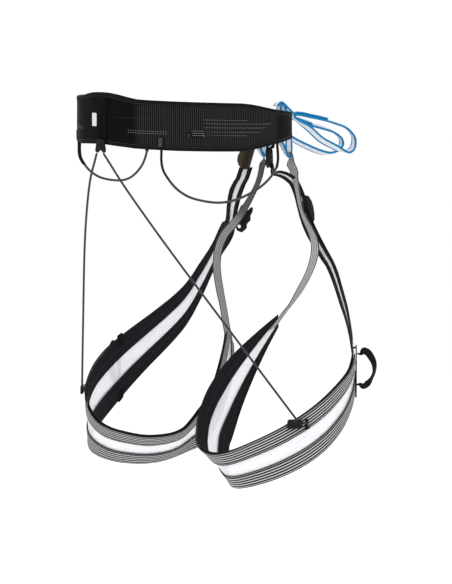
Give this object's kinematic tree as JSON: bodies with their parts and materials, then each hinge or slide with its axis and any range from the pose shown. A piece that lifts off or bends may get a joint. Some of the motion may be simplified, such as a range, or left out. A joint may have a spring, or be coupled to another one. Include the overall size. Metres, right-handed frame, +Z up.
{
  "type": "climbing harness",
  "caption": "Light mountaineering harness: padded waist belt, belay slings, gear loops and leg loops of split webbing hung on elastic risers.",
  "frame": {"origin": "middle of the lumbar pad's flat inner face at the centre back of the waist belt", "axes": "+Z up, -Y forward (the way the wearer faces), +X to the wearer's left"},
  "size_m": [0.433, 0.4104, 0.4673],
  "materials": {
    "belt_fabric": "ribbed black woven fabric with tonal stitching",
    "pad_foam": "soft black lining over thin foam",
    "binding": "black woven edge tape",
    "badge": "plain light patch",
    "black_webbing": "flat black polyester webbing",
    "grey_webbing": "grey webbing with fine lengthwise lines",
    "striped_tape": "grey woven tape with fine black lines",
    "white_mesh": "translucent white woven mesh",
    "sling_tape": "white sling tape with bright blue edges",
    "cord": "dark elastic cord",
    "sleeve": "black flexible tube",
    "black_plastic": "moulded black plastic",
    "olive_plastic": "moulded dark olive plastic"
  },
  "bodies": {
    "waist": {"belt_binding_bottom": "binding", "belt_binding_top": "binding", "belt_liner": "pad_foam", "belt_shell": "belt_fabric", "left_clipper_slot": "black_webbing", "left_gear_loop_tack": "black_webbing", "left_leg_toggle": "olive_plastic", "left_leg_toggle_tab": "black_webbing", "left_riser": "cord", "left_tie_in_sling": "sling_tape", "lumbar_pad": "pad_foam", "rear_badge": "badge", "rear_panel": "belt_fabric", "right_clipper_slot": "black_webbing", "right_gear_loop_tack": "black_webbing", "right_leg_toggle": "black_plastic", "right_leg_toggle_tab": "black_webbing", "right_riser": "cord", "right_tie_in_sling": "sling_tape", "riser_tab": "black_webbing"},
    "left_leg": {"left_leg_front_webbing": "grey_webbing", "left_leg_inner_lower_tape": "black_webbing", "left_leg_inner_upper_tape": "black_webbing", "left_leg_mesh": "white_mesh", "left_leg_outer_lower_tape": "striped_tape", "left_leg_outer_upper_tape": "striped_tape", "left_leg_riser_keeper": "black_webbing", "left_leg_riser_plate": "black_plastic", "left_leg_side_strap": "black_webbing"},
    "right_leg": {"right_leg_front_webbing": "grey_webbing", "right_leg_inner_lower_tape": "black_webbing", "right_leg_inner_upper_tape": "black_webbing", "right_leg_mesh": "white_mesh", "right_leg_outer_lower_tape": "striped_tape", "right_leg_outer_upper_tape": "striped_tape", "right_leg_riser_keeper": "black_webbing", "right_leg_riser_plate": "black_plastic", "right_leg_side_strap": "black_webbing"},
    "left_hook": {"left_leg_hook": "black_plastic"},
    "right_hook": {"right_leg_hook": "black_plastic"},
    "left_side_loop": {"left_leg_side_loop": "black_webbing"},
    "right_side_loop": {"right_leg_side_loop": "black_webbing"},
    "left_belay": {"left_belay_sling": "sling_tape"},
    "right_belay": {"right_belay_sling": "sling_tape"},
    "left_gear": {"left_gear_loop_rear_web": "black_webbing", "left_gear_loop_front_web": "black_webbing", "left_gear_loop_sleeve": "sleeve"},
    "right_gear": {"right_gear_loop_rear_web": "black_webbing", "right_gear_loop_front_web": "black_webbing", "right_gear_loop_sleeve": "sleeve"}
  },
  "joints": [
    {"name": "left_belay_swing", "type": "hinge", "parent": "waist", "child": "left_belay", "pos_m": [0.023, -0.2692, 0.003], "axis": [1, 0, 0], "range_deg": [-45, 35]},
    {"name": "left_gear_loop_swing", "type": "hinge", "parent": "waist", "child": "left_gear", "pos_m": [0.09849, -0.08909, -0.02645], "axis": [0.2916, -0.9538, 0.072], "range_deg": [-15, 75]},
    {"name": "left_leg_swing", "type": "hinge", "parent": "waist", "child": "left_leg", "pos_m": [0.023, -0.2772, -0.055], "axis": [1, 0, 0], "range_deg": [-35, 5], "deforming": ["left_riser"]},
    {"name": "left_hook_swing", "type": "hinge", "parent": "left_leg", "child": "left_hook", "pos_m": [0.0445, -0.2712, -0.114], "axis": [-0.7374, -0.5149, -0.4372], "range_deg": [-20, 40]},
    {"name": "left_side_loop_swing", "type": "hinge", "parent": "left_leg", "child": "left_side_loop", "pos_m": [0.21135, -0.18217, -0.3248], "axis": [-0.0032, 0.0003, 1], "range_deg": [-30, 30]},
    {"name": "right_belay_swing", "type": "hinge", "parent": "waist", "child": "right_belay", "pos_m": [-0.023, -0.2692, 0.003], "axis": [1, 0, 0], "range_deg": [-45, 35]},
    {"name": "right_gear_loop_swing", "type": "hinge", "parent": "waist", "child": "right_gear", "pos_m": [-0.09849, -0.08909, -0.03531], "axis": [0.2921, 0.9553, -0.0458], "range_deg": [-15, 75]},
    {"name": "right_leg_swing", "type": "hinge", "parent": "waist", "child": "right_leg", "pos_m": [-0.023, -0.2772, -0.055], "axis": [1, 0, 0], "range_deg": [-35, 5], "deforming": ["right_riser"]},
    {"name": "right_hook_swing", "type": "hinge", "parent": "right_leg", "child": "right_hook", "pos_m": [-0.061, -0.2757, -0.101], "axis": [-0.3437, 0.9164, 0.205], "range_deg": [-5, 40]},
    {"name": "right_side_loop_swing", "type": "hinge", "parent": "right_leg", "child": "right_side_loop", "pos_m": [-0.18268, -0.23935, -0.29944], "axis": [0.0035, 0.0031, 1], "range_deg": [-30, 30]}
  ]
}
